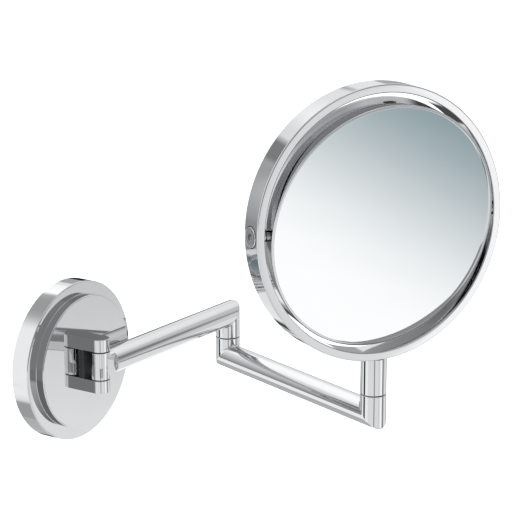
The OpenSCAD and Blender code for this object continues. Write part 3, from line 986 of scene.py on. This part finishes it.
# a dark hoop low in the room: degrees from the room's direction, azimuths, height of its top
HOOP_ANGLES = (52, 60)
HOOP_AZIMUTHS = (-60, 42)
HOOP_TOP = -19
HOOP_GREY = 0.2
HOOP_SOFT = (2, 6, 4)      # softness of its edges: by angle, by azimuth, at the top
# the card that the plain glass reflects: blue-grey at the top, fading down to white
CARD_AZIMUTHS = (-3, 13)
CARD_ELEVATIONS = (-33, -21.5)
CARD_SOFT = (2, 1.5)       # softness of its edges across and up
CARD_TOP = (0.245, 0.335, 0.368)
CARD_FOOT = (1.07, 1.07, 1.07)
CARD_FADE = 7.5            # degrees over which it fades
CARD_FADE_TOP = -22        # elevation where the fade starts, at azimuth CARD_MIDDLE
CARD_MIDDLE = 8
CARD_SLOPE = 0.33          # how much the fade drops for each degree of azimuth


def eased(value):
    """0 to 1 with soft ends."""
    clipped = np.clip(value, 0, 1)
    return clipped * clipped * (3 - 2 * clipped)


def between(value, limits, soft):
    """1 between two limits, falling to 0 over the soft distance outside them."""
    return eased((value - limits[0]) / soft + 1) * eased((limits[1] - value) / soft + 1)


def panels(azimuth, elevation):
    """The brightness of the tent's panels in each direction."""
    grey = np.full(azimuth.shape, TENT_GREY)
    for (left, right), (foot, top), (soft_across, soft_up), (low_end, high_end) in TENT_PANELS:
        middle = (left + right) / 2
        turn = (azimuth - middle + 180) % 360 - 180
        across = between(turn, (left - middle, right - middle), soft_across)
        mask = across * between(elevation, (foot, top), soft_up)
        rise = np.clip((elevation - foot) / (top - foot), 0, 1)
        grey = grey * (1 - mask) + mask * (low_end + (high_end - low_end) * rise)
    return grey


def hoop(azimuth, elevation):
    """1 on the dark hoop and 0 off it."""
    towards_room = np.cos(np.radians(azimuth)) * np.cos(np.radians(elevation))
    from_room = np.degrees(np.arccos(towards_room))
    by_angle, by_azimuth, at_top = HOOP_SOFT
    below = eased((HOOP_TOP - elevation) / at_top)
    band = between(from_room, HOOP_ANGLES, by_angle)
    return band * below * between(azimuth, HOOP_AZIMUTHS, by_azimuth)


def tent_light(azimuth, elevation):
    """The tent's colour in each direction."""
    dark = hoop(azimuth, elevation)
    grey = panels(azimuth, elevation) * (1 - dark) + dark * HOOP_GREY
    colour = grey[..., None] * np.array(TENT_TINT)
    across, up = CARD_SOFT
    card = between(azimuth, CARD_AZIMUTHS, across) * between(elevation, CARD_ELEVATIONS, up)
    fade_start = CARD_FADE_TOP - CARD_SLOPE * (azimuth - CARD_MIDDLE)
    fade = eased((fade_start - elevation) / CARD_FADE)[..., None]
    graded = np.array(CARD_TOP) * (1 - fade) + np.array(CARD_FOOT) * fade
    return colour + (graded / TENT_POWER - colour) * card[..., None]


def glow(name):
    """A material that shines with the mesh's own colours."""
    material = bpy.data.materials.new(name)
    material.use_nodes = True
    tree = material.node_tree
    tree.nodes.clear()
    colours = tree.nodes.new("ShaderNodeAttribute")
    colours.attribute_name = "light"
    shine = tree.nodes.new("ShaderNodeEmission")
    output = tree.nodes.new("ShaderNodeOutputMaterial")
    shine.inputs["Strength"].default_value = TENT_POWER
    tree.links.new(colours.outputs["Color"], shine.inputs["Color"])
    tree.links.new(shine.outputs["Emission"], output.inputs["Surface"])
    material.cycles.emission_sampling = "NONE"
    return material


def tent_faces(rows, across):
    """Quads between the rows of the tent's points, each row closed on itself."""
    faces = []
    for row in range(rows):
        below = row * across
        above = below + across
        for i in range(across):
            j = (i + 1) % across
            faces.append((below + i, below + j, above + j, above + i))
    return faces


def light_tent():
    """A sphere round everything, seen by reflections only."""
    rows = round(180 / TENT_STEP)
    turns = np.arange(-180, 180, TENT_STEP)
    azimuth, elevation = np.meshgrid(turns, np.linspace(-90, 90, rows + 1))
    a, e = np.radians(azimuth), np.radians(elevation)
    units = np.stack([np.sin(a) * np.cos(e), -np.cos(a) * np.cos(e), np.sin(e)], -1)
    points = (units * TENT_RADIUS).reshape(-1, 3).tolist()
    mesh = bpy.data.meshes.new("light_tent")
    mesh.from_pydata(points, [], tent_faces(rows, len(turns)))
    colour = np.ones((azimuth.size, 4))
    colour[:, :3] = tent_light(azimuth, elevation).reshape(-1, 3)
    light = mesh.color_attributes.new("light", "FLOAT_COLOR", "POINT")
    light.data.foreach_set("color", colour.ravel())
    mesh.materials.append(glow("light_tent"))
    tent = bpy.data.objects.new("light_tent", mesh)
    scene.collection.objects.link(tent)
    tent.visible_camera = False
    tent.visible_diffuse = False
    tent.visible_transmission = False
    tent.visible_shadow = False


FLOOR_DROP = 0.18          # floor below the object
FLOOR_RADIUS = 30.0
WORLD_POWER = 1.2
# each lamp's name, place, edge and power
LAMPS = (
    ("key", Vector((-1.6, -1.8, 2.4)), 2.0, 90),
    ("fill", Vector((2.2, -1.4, 1.8)), 2.4, 50),
)


def pale_floor():
    """A wide, very slightly mottled white floor."""
    level = low.z - FLOOR_DROP
    outline = [u * FLOOR_RADIUS + Z * level for u in around(SMALL_RING)]
    mesh = bpy.data.meshes.new("floor")
    mesh.from_pydata([tuple(p) for p in outline], [], [tuple(range(len(outline)))])
    n = Nodes("floor", Roughness=0.6)
    n.set("Base Color", n.blend(n.noise(3, 4), (0.88, 0.88, 0.88), (0.92, 0.92, 0.92)))
    mesh.materials.append(n.material)
    floor = bpy.data.objects.new("floor", mesh)
    scene.collection.objects.link(floor)
    floor.visible_glossy = False


def soft_lamp(name, place, edge, power):
    """A large area lamp aimed at the object; the tent stands in for it in reflections."""
    lamp = bpy.data.objects.new(name, bpy.data.lights.new(name, "AREA"))
    scene.collection.objects.link(lamp)
    lamp.data.size = edge
    lamp.data.energy = power
    lamp.location = place
    lamp.rotation_mode = "QUATERNION"
    lamp.rotation_quaternion = (aim - lamp.location).to_track_quat("-Z", "Y")
    lamp.visible_glossy = False


def white_world():
    """An even white light from everywhere."""
    world = bpy.data.worlds.new("studio")
    scene.world = world
    world.use_nodes = True
    background = world.node_tree.nodes["Background"]
    background.inputs["Color"].default_value = (1, 1, 1, 1)
    background.inputs["Strength"].default_value = WORLD_POWER


scene.view_settings.view_transform = "Standard"
white_world()
light_tent()
pale_floor()
for lamp in LAMPS:
    soft_lamp(*lamp)
